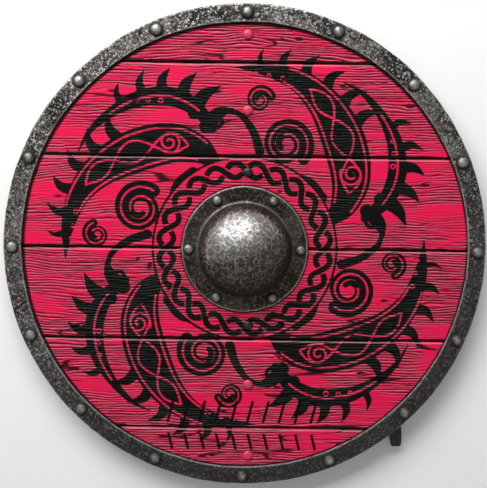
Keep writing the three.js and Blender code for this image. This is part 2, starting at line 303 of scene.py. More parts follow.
def stroke_distance(x, y, line):
    """Distance to a brush stroke of [x, y, half width] points, clipped to FAR."""
    out = np.full(x.shape, FAR)
    reach = line[:, 2].max() + FAR
    inside = (x > line[:, 0].min() - reach) & (x < line[:, 0].max() + reach)
    inside &= (y > line[:, 1].min() - reach) & (y < line[:, 1].max() + reach)
    index = np.nonzero(inside)[0]
    px, py = x[index], y[index]
    best = np.full(px.shape, FAR)
    for (ax, ay, aw), (bx, by, bw) in zip(line[:-1], line[1:]):
        near = np.abs(px - (ax + bx) / 2) < abs(bx - ax) / 2 + reach
        near &= np.abs(py - (ay + by) / 2) < abs(by - ay) / 2 + reach
        at = np.nonzero(near)[0]
        qx, qy = px[at] - ax, py[at] - ay
        length = (bx - ax) ** 2 + (by - ay) ** 2 + 1e-9
        t = np.clip((qx * (bx - ax) + qy * (by - ay)) / length, 0, 1)
        gap = np.hypot(qx - t * (bx - ax), qy - t * (by - ay)) - (aw + (bw - aw) * t)
        best[at] = np.minimum(best[at], gap)
    out[index] = best
    return out


def beside(line, share, half_width):
    """A line that runs along a stroke, at a share of its half width from its middle."""
    step = np.gradient(line[:, :2], axis=0)
    normal = np.column_stack([-step[:, 1], step[:, 0]]) / (np.hypot(step[:, 0], step[:, 1])[:, None] + 1e-9)
    places = line[:, :2] + normal * line[:, 2:3] * share
    return np.column_stack([places, np.full(len(line), half_width)])


ARMS = 4
ARM_PHASE = math.radians(52)
HAIRLINE = 1.3  # half width of a line left red in the black


def braid(line, share, waves, half_width):
    """Two lines that cross and cross again inside a stroke, as distance lines of their own."""
    phase = np.linspace(0, waves * 2 * math.pi, len(line))
    return [beside(line, share * np.sin(phase + turn)[:, None], half_width) for turn in (0, math.pi)]


# One arm, pointing along X from the boss. Each point is x, y and half width.
ARM_BODY = smooth_curve(
    [(98, -62, 8), (124, -62, 17), (156, -46, 25), (186, -8, 27)]
    + [(204, 36, 21), (206, 78, 14), (192, 118, 8), (168, 154, 0)],
    steps=10,
)
ARM_HORN = smooth_curve(
    [(126, -94, 6), (160, -100, 10), (194, -90, 12), (222, -63, 10)]
    + [(238, -28, 6), (244, 8, 3), (238, 42, 0)],
    steps=10,
)
ARM_CURL = spiral(136, 42, 28, 8, -0.25, 1.7, 8.5, 3.5)
ARM_EYE = spiral(158, 102, 15, 4, -0.1, 1.4, 5.5, 2.5)
ARM_FLAMES = [
    smooth_curve(points)
    for points in (
        [(134, -90, 8.8), (132, -112, 8), (120, -130, 0)],
        [(156, -94, 8.2), (160, -118, 8), (150, -142, 0)],
        [(176, -94, 8.2), (186, -114, 7), (184, -136, 0)],
        [(196, -84, 7.5), (212, -100, 6), (214, -120, 0)],
        [(214, -70, 6.1), (232, -80, 5), (238, -98, 0)],
        [(230, -46, 4.8), (246, -52, 4), (254, -66, 0)],
        [(206, -10, 8.2), (226, -12, 6), (240, -26, 0)],
        [(212, 16, 8.2), (232, 18, 6), (250, 4, 0)],
        [(214, 42, 7.5), (234, 50, 6), (254, 40, 0)],
        [(210, 70, 6.8), (228, 82, 6), (248, 78, 0)],
        [(200, 96, 5.4), (214, 110, 5), (232, 110, 0)],
        [(188, 120, 3.4), (198, 134, 3), (212, 138, 0)],
    )
]
ARM_TENDRILS = [
    smooth_curve([(108, 62, 6), (122, 84, 5), (128, 112, 3.5), (114, 136, 2)]),
    spiral(104, 128, 12, 3.5, 0.12, 1.2, 3.0, 2.0),
    smooth_curve([(112, -36, 6), (118, -12, 5), (112, 10, 3)]),
]
ARM_RESERVED = [
    beside(ARM_BODY[8:-16], 0.78, HAIRLINE),
    beside(ARM_BODY[8:-16], -0.78, HAIRLINE),
    *braid(ARM_BODY[14:-24], 0.5, 1.5, HAIRLINE),
    beside(ARM_HORN[8:-20], 0.0, HAIRLINE),
    spiral(158, -46, 15, 3, 0.3, 1.7, HAIRLINE, HAIRLINE),
    beside(ARM_CURL[:-10], 0.0, HAIRLINE),
    beside(ARM_EYE[:-10], 0.0, 1.0),
]
# Small rings left red, each as x, y and radius
ARM_DOTS = [(196, 96, 2.6), (188, 112, 2.2), (180, 126, 1.8)]
ARM_DOTS += [(222, -60, 2.2), (211, -71, 2.6), (198, -80, 2.8)]
DOT_HALF_WIDTH = 0.8

RING_RADIUS = 100.0
RING_SWAY = 9.0
RING_WAVES = 12
RING_HALF_WIDTH = 3.7
RING_GAP = 1.7
RING_MARGIN = 2.2  # red left between the braid and the line round it
RING_LINE_OUTSET = 1.4
RING_LINE_HALF_WIDTH = 1.5


def interlaced_ring(x, y):
    """Two strands that wave in and out and pass over and under each other, round the boss."""
    radius, angle = np.hypot(x, y), np.arctan2(y, x)
    phase = RING_WAVES * angle
    steep = np.sqrt(1 + (RING_SWAY * RING_WAVES / RING_RADIUS * np.cos(phase)) ** 2)
    first = np.abs(radius - RING_RADIUS - RING_SWAY * np.sin(phase)) / steep - RING_HALF_WIDTH
    second = np.abs(radius - RING_RADIUS + RING_SWAY * np.sin(phase)) / steep - RING_HALF_WIDTH
    even = np.round(phase / math.pi).astype(int) % 2 == 0
    over, under = np.where(even, first, second), np.where(even, second, first)
    return np.minimum(over, np.maximum(under, RING_GAP - over))


def design_distance(x, y):
    """Distance to the edge of the black paint, negative inside it."""
    radius = np.hypot(x, y)
    black = np.full(x.shape, FAR)
    reserved = np.full(x.shape, FAR)
    for arm in range(ARMS):
        u, v = turned(x, y, -(ARM_PHASE + arm * 2 * math.pi / ARMS))
        for line in [ARM_BODY, ARM_HORN, ARM_CURL, ARM_EYE, *ARM_FLAMES, *ARM_TENDRILS]:
            black = np.minimum(black, stroke_distance(u, v, line))
        for line in ARM_RESERVED:
            reserved = np.minimum(reserved, stroke_distance(u, v, line))
        for dot_x, dot_y, dot_radius in ARM_DOTS:
            circle = np.abs(np.hypot(u - dot_x, v - dot_y) - dot_radius)
            reserved = np.minimum(reserved, circle - DOT_HALF_WIDTH)
    black = np.maximum(black, -reserved)
    edge = RING_RADIUS + RING_SWAY + RING_HALF_WIDTH + RING_MARGIN
    black = np.maximum(black, edge - radius)
    black = np.minimum(black, interlaced_ring(x, y))
    return np.minimum(black, np.abs(radius - edge - RING_LINE_OUTSET) - RING_LINE_HALF_WIDTH)


def carved_distance(x, y):
    """Distance to the middle of the nearest carved stroke."""
    nearest = np.full(x.shape, FAR)
    for start, length, way in STROKE_ROWS:
        centre = LOWEST_JOINT + start + length / 2
        rise, run = length / 2 * math.cos(STROKE_LEAN), way * length / 2 * math.sin(STROKE_LEAN)
        for place in STROKE_PLACES:
            ends = np.array([(place - run, centre - rise, 0), (place + run, centre + rise, 0)])
            nearest = np.minimum(nearest, stroke_distance(x, y, ends))
    return nearest


# Tools for modelling


def only(obj):
    """Makes one object the only selected and active one."""
    bpy.ops.object.select_all(action="DESELECT")
    obj.select_set(True)
    bpy.context.view_layer.objects.active = obj


def select_parts(obj, faces=None, edges=None):
    """Selects some faces or edges of a mesh, and nothing else, and makes it the active object."""
    for parts, chosen in (
        (obj.data.vertices, None),
        (obj.data.edges, edges),
        (obj.data.polygons, faces),
    ):
        parts.foreach_set("select", np.zeros(len(parts), bool) if chosen is None else chosen)
    only(obj)


def open_edges(obj):
    """Which edges have a face on one side only."""
    edge_of_loop = np.zeros(len(obj.data.loops), int)
    obj.data.loops.foreach_get("edge_index", edge_of_loop)
    return np.bincount(edge_of_loop, minlength=len(obj.data.edges)) == 1


def primitive(operator, **sizes):
    """A new primitive, with nothing else selected."""
    bpy.ops.object.select_all(action="DESELECT")
    operator(**sizes)
    return bpy.context.object


def points_of(obj):
    """A mesh's points as rows."""
    co = np.zeros(len(obj.data.vertices) * 3)
    obj.data.vertices.foreach_get("co", co)
    return co.reshape(-1, 3)


def set_points(obj, co):
    """Gives a mesh new places for its points."""
    obj.data.vertices.foreach_set("co", co.ravel())
    obj.data.update()


def from_axis(co):
    """Each point's distance from the shield's axis."""
    return np.hypot(co[:, 0], co[:, 1])


def normals_of(obj):
    """A mesh's point normals as rows."""
    values = np.zeros(len(obj.data.vertices) * 3)
    obj.data.vertex_normals.foreach_get("vector", values)
    return values.reshape(-1, 3)


def store(obj, **named):
    """Keeps one number for each vertex under each name, for the material to read."""
    for name, values in named.items():
        attribute = obj.data.attributes.new(name, "FLOAT", "POINT")
        attribute.data.foreach_set("value", np.asarray(values, np.float32))


def apply_modifier(obj, kind, **settings):
    """Adds a modifier and puts its result into the mesh."""
    only(obj)
    modifier = obj.modifiers.new(kind.title(), kind)
    for key, value in settings.items():
        setattr(modifier, key, value)
    bpy.ops.object.modifier_apply(modifier=modifier.name)


def copied(obj):
    """A copy with its own mesh."""
    only(obj)
    bpy.ops.object.duplicate(linked=False)
    return bpy.context.object


def settle(obj):
    """Puts an object's place and turn into its mesh."""
    only(obj)
    bpy.ops.object.transform_apply(location=True, rotation=True, scale=True)


def finish_piece(obj, name, material, slot, *nodes, angle=40):
    """Names, smooths and finishes a piece, and lets it stand for its nodes."""
    obj.name = name
    obj.data.name = name
    only(obj)
    bpy.ops.object.shade_smooth_by_angle(angle=math.radians(angle))
    obj.data.materials.clear()
    obj.data.materials.append(material)
    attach(obj, ROOT)
    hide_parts(*nodes)


def evenly(points, spacing):
    """The same open line with points about one spacing apart, corners kept."""
    out = [points[0]]
    for (ax, ay), (bx, by) in zip(points[:-1], points[1:]):
        count = max(1, round(math.hypot(bx - ax, by - ay) / spacing))
        out += [(ax + (bx - ax) * i / count, ay + (by - ay) * i / count) for i in range(1, count + 1)]
    return out


def quarter_arc(radius, rise, foot, steps):
    """Points of a quarter ellipse from its crown out and down to its foot."""
    turns = [math.pi / 2 * i / steps for i in range(steps + 1)]
    return [(radius * math.sin(t), foot + rise * math.cos(t)) for t in turns]


def steps_round(co, steps):
    """Each point's turn about Z, counted in a number of steps to a full turn."""
    return (np.arctan2(co[:, 1], co[:, 0]) / (2 * math.pi) + 0.5) * steps


def spun(points, steps, ring=False):
    """A body of revolution about Z, spun from a line of [radius, height] points in millimetres.

    A ring's line is closed. Any other line starts and ends on the axis.
    """
    obj = primitive(bpy.ops.mesh.primitive_circle_add, vertices=len(points), radius=1, fill_type="NOTHING")
    set_points(obj, np.array([(r * MM, 0, z * MM) for r, z in points]))
    bpy.ops.object.mode_set(mode="EDIT")
    bpy.ops.mesh.select_all(action="DESELECT")
    bpy.ops.object.mode_set(mode="OBJECT")
    if not ring:
        for edge in obj.data.edges:
            edge.select = set(edge.vertices) == {0, len(points) - 1}
        bpy.ops.object.mode_set(mode="EDIT")
        bpy.ops.mesh.select_mode(type="EDGE")
        bpy.ops.mesh.delete(type="EDGE")
        bpy.ops.mesh.select_mode(type="VERT")
    else:
        bpy.ops.object.mode_set(mode="EDIT")
    bpy.ops.mesh.select_all(action="SELECT")
    bpy.ops.mesh.spin(steps=steps, angle=2 * math.pi, center=(0, 0, 0), axis=(0, 0, 1))
    bpy.ops.mesh.select_all(action="SELECT")
    bpy.ops.mesh.remove_doubles(threshold=0.01 * MM)
    bpy.ops.mesh.normals_make_consistent(inside=False)
    bpy.ops.object.mode_set(mode="OBJECT")
    return obj


def hammered(obj, spacing, depth, seed, keep=None):
    """Pushes a mesh's points in along their normals, as round hammer marks that overlap."""
    co, normals = points_of(obj), normals_of(obj)
    random = np.random.default_rng(seed)
    low, high = co.min(0) - spacing, co.max(0) + spacing
    count = int(np.prod(np.maximum((high - low) / spacing, 1)))
    marks = low + random.random((count, 3)) * (high - low)
    tree = kdtree.KDTree(count)
    for i, mark in enumerate(marks):
        tree.insert(mark, i)
    tree.balance()
    strength = 0.45 + 0.55 * random.random(count)
    fall = np.empty(len(co))
    for i, point in enumerate(co):
        (_, first, near), (_, _, far) = tree.find_n(point, 2)
        # Between two marks the fall is none, and it is full where one is clearly the nearer
        fall[i] = min((far - near) / spacing * 1.6, 1) * strength[first]
    if keep is not None:
        fall = fall * keep(co / MM)
    set_points(obj, co - normals * (fall * depth)[:, None])
    return fall


# Materials


class Tree:
    """A new material's nodes, with one way to add a node with its settings and links."""

    def __init__(self, name):
        self.material = bpy.data.materials.new(name)
        self.material.use_nodes = True
        self.nodes = self.material.node_tree.nodes
        self.links = self.material.node_tree.links
        self.shader = self.nodes["Principled BSDF"]
        self.place = self.add("TexCoord", out="Object")

    def put(self, node, key, value):
        socket = node.inputs[key]
        if isinstance(value, bpy.types.NodeSocket):
            self.links.new(value, socket)
        else:
            socket.default_value = value

    def add(self, kind, settings=None, inputs=None, out=0):
        node = self.nodes.new("ShaderNode" + kind)
        for key, value in (settings or {}).items():
            setattr(node, key, value)
        for key, value in (inputs or {}).items():
            self.put(node, key, value)
        return node.outputs[out]

    def shade(self, **inputs):
        for key, value in inputs.items():
            self.put(self.shader, key.replace("_", " "), value)
        return self.material


MULTIPLY = {"operation": "MULTIPLY"}
MULTIPLY_ADD = {"operation": "MULTIPLY_ADD"}
CLAMPED_ADD = {"operation": "MULTIPLY_ADD", "use_clamp": True}
SMOOTH = {"interpolation_type": "SMOOTHSTEP"}
COLOUR = {"data_type": "RGBA"}

# Sockets that share their name with others, by number
SHARE, UNDER, OVER, MIXED = 0, 6, 7, 2
FROM_LOW, FROM_HIGH, TO_LOW, TO_HIGH = 1, 2, 3, 4


def coats(t, colour, layers):
    """Lays coats over a colour: a pattern, its values where the coat is absent and full, the coat's
    largest share, and its colour.
    """
    for pattern, none, full, most, coat in layers:
        share = t.add("MapRange", SMOOTH, {0: pattern, FROM_LOW: none, FROM_HIGH: full, TO_HIGH: most})
        colour = t.add("Mix", COLOUR, {SHARE: share, UNDER: colour, OVER: coat}, out=MIXED)
    return colour


def painted_planks(colours):
    """Softwood planks under thin milk paint, brushed out and worn.

    The soft summer wood is worn away between the hard lines, so dirt lies in the grooves and the
    ridges are rubbed paler, with a painted highlight on the ridge under each groove. The black
    design is a second coat, and the ridges show through it as pale lines of painted sheen.
    """
    t = Tree("Milk Paint On Brushed Softwood")
    names = ("grain", "ridge", "across", "design", "worn", "carved", "edge", "corner", "board")
    grain, ridge, across, design, worn, carved, edge, corner, board = (
        t.add("Attribute", {"attribute_name": name}, out="Fac") for name in names
    )
    x = t.add("SeparateXYZ", inputs={0: t.place}, out="X")
    # Hairs of late wood 1.5 mm apart and 30 mm long, and blooms of wear 50 mm long and 9 mm tall
    streaks = []
    for long, tall, detail in ((30, 1.5, 3.0), (50, 9, 4.0)):
        along = t.add("Math", MULTIPLY, {0: x, 1: 1000 / long})
        up = t.add("Math", MULTIPLY, {0: across, 1: 1000 / tall})
        place = t.add("CombineXYZ", inputs={0: along, 1: up, 2: board})
        look = {"Vector": place, "Detail": detail, "Scale": 1.0, "Roughness": 0.6}
        streaks.append(t.add("TexNoise", inputs=look))
    fine, wide = streaks
    partly_worn = t.add("Math", MULTIPLY, {0: worn, 1: 0.5})
    ridge_share = t.add(
        "MapRange", SMOOTH, {0: fine, FROM_LOW: 0.3, FROM_HIGH: 0.62, TO_LOW: 0.35, TO_HIGH: 0.85}
    )
    rubbed_and_lit_ridge = t.add("Math", MULTIPLY, {0: ridge, 1: ridge_share})
    red_coats = (
        (wide, 0.36, 0.62, worn, colours.paint_worn),
        (fine, 0.48, 0.34, partly_worn, linear("#5a1524")),
        (wide, 0.60, 0.74, partly_worn, linear("#8a3d48")),
        # Painted highlight on the ridge under each groove, partly rubbed paint
        (rubbed_and_lit_ridge, 0.0, 1.0, 1.0, linear("#e68499")),
        (grain, 0.05, 0.72, 0.96, colours.groove),
    )
    black_coats = (
        # Painted sheen on the ridges, showing through the black paint
        (rubbed_and_lit_ridge, 0.1, 0.9, 0.85, linear("#3f5046")),
        (wide, 0.62, 0.76, partly_worn, linear("#45161f")),
        (grain, 0.1, 0.6, 0.95, linear("#010101")),
    )
    # The brush's edge wanders about a millimetre
    wander = t.add("Math", MULTIPLY_ADD, {0: fine, 1: 2.4, 2: -1.2})
    ragged = t.add("Math", {"operation": "ADD"}, {0: design, 1: wander})
    black = coats(t, colours.design, black_coats)
    chalk_and_highlight = t.add("Math", CLAMPED_ADD, {0: fine, 1: 1.2, 2: -0.05})
    over_both = (
        (ragged, 0.4, -0.4, 1.0, black),
        # Painted highlight on the upper arris, partly chalky rubbed paint
        (edge, 0.2, 0.9, chalk_and_highlight, linear("#bd8b90")),
        # Painted shade along the lower arris, with dirt in the joint
        (edge, -0.05, -0.7, 0.97, linear("#100305")),
        # Dirt with painted shadow along the band, and dirt with painted shade round the flange
        (corner, 0.0, 1.0, 0.96, linear("#0b0304")),
        (carved, 2.4, 1.2, 0.97, linear("#0f0305")),
    )
    colour = coats(t, coats(t, colours.paint, red_coats), over_both)
    rough = t.add("Math", CLAMPED_ADD, {0: fine, 1: 0.25, 2: 0.45})
    sunk = t.add("Math", MULTIPLY, {0: grain, 1: -0.4})
    height = t.add("Math", MULTIPLY_ADD, {0: fine, 1: 0.7, 2: sunk})
    bump = t.add("Bump", inputs={"Strength": 0.6, "Distance": 0.35 * MM, "Height": height})
    return t.shade(Base_Color=colour, Roughness=rough, Normal=bump, IOR=1.5, Specular_IOR_Level=0.09)


def forged(name, colour, light, dark, fleck, veins=0.0):
    """Hammered mild steel, blackened in oil and rubbed.

    Dark scale stays in the pits, a few millimetres across, and the ridges between them are rubbed
    to bright metal. On a planished dome the ridges join into veins. Scale isn't metal, so where it
    is thick the surface turns matt and black. The scale mask also carries painted shade, and the
    dome's pale crown is a painted highlight.
    """
    t = Tree(name)
    fall, wear, scale, polish = (
        t.add("Attribute", {"attribute_name": label}, out="Fac")
        for label in ("dent", "wear", "scale", "polish")
    )
    # Pits 4 mm across, flecks under 3 mm, clouds of scale 45 mm, and cells of veins 9 mm across
    pits, speckle, broad = (
        t.add("TexNoise", inputs={"Vector": t.place, "Scale": 1000 / wide, "Detail": 3.0, "Roughness": 0.6})
        for wide in (4.2, 2.6, 45)
    )
    drift = t.add("TexNoise", inputs={"Vector": t.place, "Scale": 1000 / 8, "Detail": 2.0}, out="Color")
    bent = t.add("Mix", {"data_type": "VECTOR"}, {0: 0.012, 4: t.place, 5: drift}, out=1)
    cells = t.add("TexVoronoi", {"feature": "DISTANCE_TO_EDGE"}, {"Vector": bent, "Scale": 1000 / 9})
    most_vein = t.add("Math", MULTIPLY, {0: polish, 1: veins})
    vein = t.add("MapRange", SMOOTH, {0: cells, FROM_LOW: 0.11, FROM_HIGH: 0.02, TO_HIGH: most_vein})
    flecks = t.add("Math", CLAMPED_ADD, {0: scale, 1: -fleck, 2: fleck})
    most_ridge = t.add("Math", MULTIPLY, {0: flecks, 1: 0.6})
    ridge = t.add("MapRange", SMOOTH, {0: fall, FROM_LOW: 0.16, FROM_HIGH: 0.0, TO_HIGH: most_ridge})
    layers = (
        (broad, 0.36, 0.64, 0.9, dark),
        # Painted highlight, a paler base where the dome faces the light
        (polish, 0.25, 1.0, veins, linear("#9a999a")),
        # Black scale, which also carries painted shade
        (scale, 0.0, 1.0, 1.0, linear("#12100f")),
        (pits, 0.52, 0.38, 0.25 + 0.7 * fleck, dark),
        (speckle, 0.54, 0.66, flecks, light),
        (pits, 0.4, 0.6, ridge, light),
        (pits, 0.36, 0.52, vein, light),
        # Rubbed bright metal, with a painted highlight on the band's lip and along the dome's foot
        (pits, 0.2, 0.55, wear, light),
    )
    steel = coats(t, colour, layers)
    matt = t.add("MapRange", SMOOTH, {0: pits, FROM_LOW: 0.3, FROM_HIGH: 0.7, TO_LOW: 0.54, TO_HIGH: 0.38})
    matt = t.add("Math", CLAMPED_ADD, {0: polish, 1: 0.02, 2: matt})
    rough = t.add("Math", CLAMPED_ADD, {0: scale, 1: 0.3, 2: matt})
    metal = t.add("Math", CLAMPED_ADD, {0: scale, 1: -0.9, 2: 0.95})
    bump = t.add("Bump", inputs={"Strength": 0.4, "Distance": 0.25 * MM, "Height": pits})
    return t.shade(Base_Color=steel, Roughness=rough, Normal=bump, Metallic=metal)


def painted_nail(name, colour, wear_colour):
    """Wrought nail head brushed over with the same paint as the boards, rubbed on its crown."""
    t = Tree(name)
    wear = t.add("Attribute", {"attribute_name": "wear"}, out="Fac")
    # Chips about 3 mm across
    mottle = t.add("TexNoise", inputs={"Vector": t.place, "Scale": 320.0, "Detail": 4.0, "Roughness": 0.6})
    rubbed = t.add("Math", MULTIPLY, {0: wear, 1: 0.6})
    paint = coats(t, colour, ((mottle, 0.55, 0.7, rubbed, wear_colour),))
    rough = t.add("MapRange", inputs={0: mottle, TO_LOW: 0.3, TO_HIGH: 0.5})
    bump = t.add("Bump", inputs={"Strength": 0.5, "Distance": 0.25 * MM, "Height": mottle})
    return t.shade(Base_Color=paint, Roughness=rough, Normal=bump, IOR=1.5)


def oiled_softwood(colours):
    """Planed pine batten, oiled: straight grain that darkens in the late wood."""
    t = Tree("Oiled Pine")
    # Grain runs up the batten: lines 3 mm apart and 90 mm long
    stretched = t.add("Mapping", inputs={"Vector": t.place, "Scale": (330.0, 11.0, 330.0)})
    lines = t.add("TexNoise", inputs={"Vector": stretched, "Scale": 1.0, "Detail": 4.0, "Roughness": 0.55})
    pores = t.add("TexNoise", inputs={"Vector": stretched, "Scale": 4.0, "Detail": 2.0})
    wood = coats(t, linear("#4a2f1b"), ((lines, 0.38, 0.64, 1.0, colours.wood),))
    rough = t.add("MapRange", inputs={0: pores, TO_LOW: 0.5, TO_HIGH: 0.75})
    bump = t.add("Bump", inputs={"Strength": 0.6, "Distance": 0.3 * MM, "Height": lines})
    return t.shade(Base_Color=wood, Roughness=rough, Normal=bump, IOR=1.5)


def bridle_leather(colours):
    """Oiled bridle leather: a tight pebbled grain with a soft shine."""
    t = Tree("Bridle Leather")
    # Pores about 1.2 mm apart
    pores = t.add("TexVoronoi", {"feature": "DISTANCE_TO_EDGE"}, {"Vector": t.place, "Scale": 850.0})
    tone = t.add("TexNoise", inputs={"Vector": t.place, "Scale": 60.0, "Detail": 4.0})
    mixed = t.add("Mix", COLOUR, {SHARE: tone, UNDER: linear("#1a100b"), OVER: colours.leather}, out=MIXED)
    rough = t.add("MapRange", inputs={0: tone, TO_LOW: 0.42, TO_HIGH: 0.62})
    bump = t.add("Bump", inputs={"Strength": 0.5, "Distance": 0.2 * MM, "Height": pores})
    return t.shade(Base_Color=mixed, Roughness=rough, Normal=bump, IOR=1.5)


def studio_floor():
    """Matt pale board with the faintest tooth."""
    t = Tree("Pale Studio Board")
    tone = t.add("TexNoise", inputs={"Vector": t.place, "Scale": 3.0, "Detail": 2.0})
    whites = {SHARE: tone, UNDER: linear("#f1f0ee"), OVER: linear("#f5f5f4")}
    white = t.add("Mix", COLOUR, whites, out=MIXED)
    return t.shade(Base_Color=white, Roughness=0.9)


# Pieces


SHARP = math.radians(60)  # edges that turn by more than this are rounded
HOLE_BORDER = 4.0  # the rough cut stays this near the hole's true edge


def open_hand_hole(obj):
    """Takes the round hand hole out of a sheet of faces, and rounds the cut."""
    centres = np.zeros(len(obj.data.polygons) * 3)
    obj.data.polygons.foreach_get("center", centres)
    centres = centres.reshape(-1, 3) / MM
    select_parts(obj, faces=from_axis(centres) < HAND_HOLE_RADIUS)
    bpy.ops.object.mode_set(mode="EDIT")
    bpy.ops.mesh.select_mode(type="FACE")
    bpy.ops.mesh.delete(type="FACE")
    bpy.ops.mesh.select_mode(type="VERT")
    bpy.ops.object.mode_set(mode="OBJECT")
    ends = np.zeros(len(obj.data.edges) * 2, int)
    obj.data.edges.foreach_get("vertices", ends)
    border = np.unique(ends.reshape(-1, 2)[open_edges(obj)])
    co = points_of(obj) / MM
    near = border[from_axis(co[border]) < HAND_HOLE_RADIUS + HOLE_BORDER]
    # Points on the joint keep to it: only the one at each end of the hole moves, along the joint
    joint = np.abs(co[:, 1]).min() + 0.01
    cut = near[np.abs(co[near, 1]) > joint]
    co[cut, :2] *= (HAND_HOLE_RADIUS / from_axis(co[cut]))[:, None]
    corner = near[np.abs(co[near, 1]) <= joint]
    corner = corner[np.abs(np.abs(co[corner, 0]) - HAND_HOLE_RADIUS) < 3]
    for side in (-1, 1):
        ends_here = corner[co[corner, 0] * side > 0]
        if len(ends_here):
            nearest = ends_here[np.argmin(np.abs(co[ends_here, 0]))]
            co[nearest, 0] = side * math.sqrt(HAND_HOLE_RADIUS**2 - co[nearest, 1] ** 2)
    set_points(obj, co * MM)


def give_back(obj, thickness):
    """Turns a sheet of faces into a slab, by running its outline down and closing it."""
    select_parts(obj, edges=open_edges(obj))
    bpy.ops.object.mode_set(mode="EDIT")
    bpy.ops.mesh.select_mode(type="EDGE")
    bpy.ops.mesh.extrude_edges_move(TRANSFORM_OT_translate={"value": (0, 0, -thickness)})
    bpy.ops.mesh.edge_face_add()
    bpy.ops.mesh.select_mode(type="VERT")
    bpy.ops.mesh.select_all(action="SELECT")
    bpy.ops.mesh.normals_make_consistent(inside=False)
    bpy.ops.object.mode_set(mode="OBJECT")


CREST_CUT = 0.8  # the first and last planks end this far inside the disc
DRESSING = 0.12  # planed off the face everywhere, so that its swell stays inside the solid


def plank(node, seed, sizes, material):
    """One plank, cut to the disc, with its joint edges rounded and its grain brushed out."""
    low, high = node_box(node)
    outermost = BOARD_RADIUS - CREST_CUT
    bottom, top = max(low[1], -outermost), min(high[1], outermost)
    nearest = max(bottom, -top, 0)
    widest = math.sqrt(BOARD_RADIUS**2 - nearest**2)
    columns, rows = round(2 * widest * MM / sizes.column), round((top - bottom) * MM / sizes.row)
    obj = primitive(bpy.ops.mesh.primitive_grid_add, x_subdivisions=columns, y_subdivisions=rows, size=2)
    co = points_of(obj)
    y = bottom + (co[:, 1] + 1) / 2 * (top - bottom)
    x = co[:, 0] * np.sqrt(BOARD_RADIUS**2 - y * y)
    set_points(obj, np.column_stack([x, y, np.full(len(x), BOARD_FRONT)]) * MM)
    if nearest < HAND_HOLE_RADIUS:
        open_hand_hole(obj)
    give_back(obj, (BOARD_FRONT - BOARD_BACK) * MM)

    co = points_of(obj) / MM
    x, y, z = co.T
    front = z > (BOARD_FRONT + BOARD_BACK) / 2
    arris = sizes.arris / MM
    under = np.abs(y - bottom) if bottom > -outermost else np.full(len(x), FAR)
    upper = np.abs(y - top) if top < outermost else np.full(len(x), FAR)
    wavy = 0.7 * noise(x / 13, y / 200, seed + 15) + 0.3 * noise(x / 5, y / 200, seed + 16)
    gap = np.minimum(under - 0.4 * wavy, upper).clip(0)
    rounding = arris - np.sqrt(np.maximum(arris**2 - np.maximum(arris - gap, 0) ** 2, 0))
    across, eyes = grain_height(x, y, seed)
    worn = grain_wear(x, across, seed)
    depth, ridge = grain_depth(x, across, eyes, worn, seed)
    carved = carved_distance(x, y)
    cut = np.clip(1 - carved / STROKE_HALF_WIDTH, 0, 1) * STROKE_DEPTH
    swell = 0.12 * noise(x / 55, y / 20, seed + 8)
    down = depth * sizes.groove / MM + 0.8 * rounding + cut + DRESSING + swell
    z = np.where(front, z - down, z)
    set_points(obj, np.column_stack([x, y, z]) * MM)

    # Dirt and painted shade lie in the corners: along the band's edge, with painted shadow reaching further
    # in at the upper left, and round the flange
    radius = np.hypot(x, y)
    lower_right = smooth_step(-0.5, 0.6, (0.6 * x - 0.8 * y) / radius.clip(1))
    dirt_and_shadow_start = BAND_INNER - 5.3 + 2.2 * lower_right
    dirt_and_shadow_by_band = smooth_step(dirt_and_shadow_start, dirt_and_shadow_start + 2.2, radius)
    dirt_and_shade_by_flange = 0.8 * smooth_step(FLANGE_RADIUS + 3.0, FLANGE_RADIUS + 0.6, radius)
    # The upper arris gets a painted highlight, partly rubbed paint, and the lower one gets painted shade,
    # with dirt in the joint
    lit = smooth_step(3.0, 2.0, upper) * smooth_step(0.5, 1.3, upper)
    dark = smooth_step(4.0, 2.5, under - 0.9 * wavy)
    # The corner values carry painted shadow and shade with the dirt, and the edge values carry painted
    # highlight and shade
    store(
        obj,
        grain=np.where(front, depth, 0.3),
        ridge=np.where(front, ridge, 0),
        worn=np.where(front, worn, 1),
        corner=np.where(front, np.maximum(dirt_and_shadow_by_band, dirt_and_shade_by_flange), 0),
        design=np.where(front, design_distance(x, y), FAR),
        carved=np.where(front, carved, FAR),
        edge=np.where(front, lit - dark, 0),
        across=across * MM,
        board=np.full(len(x), seed * 0.37),
    )
    finish_piece(obj, "plank_" + node[-1], material, "painted_boards", node)


def round_heads(co, nodes, head):
    """How close each point is to a rivet's head, where black scale gathers and painted shade darkens a ring
    round it.
    """
    gap = np.min([np.hypot(co[:, 0] - x, co[:, 1] - y) for x, y in map(middle, nodes)], axis=0)
    return smooth_step(head + 3.6, head + 0.4, gap)


def band_profile():
    """The band's section: a U on its side, open towards the middle."""
    inner, outer = BAND_INNER, RIM_RADIUS
    back, face = RIM_LOW[2], RIM_HIGH[2]
    bend, cut = BAND_CORNER, 0.35 * BAND_CORNER
    outside = [(inner, back + SHEET), (inner, back + 0.6), (inner + 0.6, back)]
    outside += [(outer - bend, back), (outer - cut, back + cut), (outer, back + bend)]
    outside += [(outer, face - bend), (outer - cut, face - cut), (outer - bend, face)]
    outside += [(inner + 0.7, face), (inner, face - 0.7), (inner, face - SHEET)]
    inside = [(outer - SHEET, face - SHEET), (outer - SHEET, back + SHEET)]
    return evenly(outside, 1.6)[1:] + evenly([outside[-1], *inside, outside[0]], 7.0)[1:]


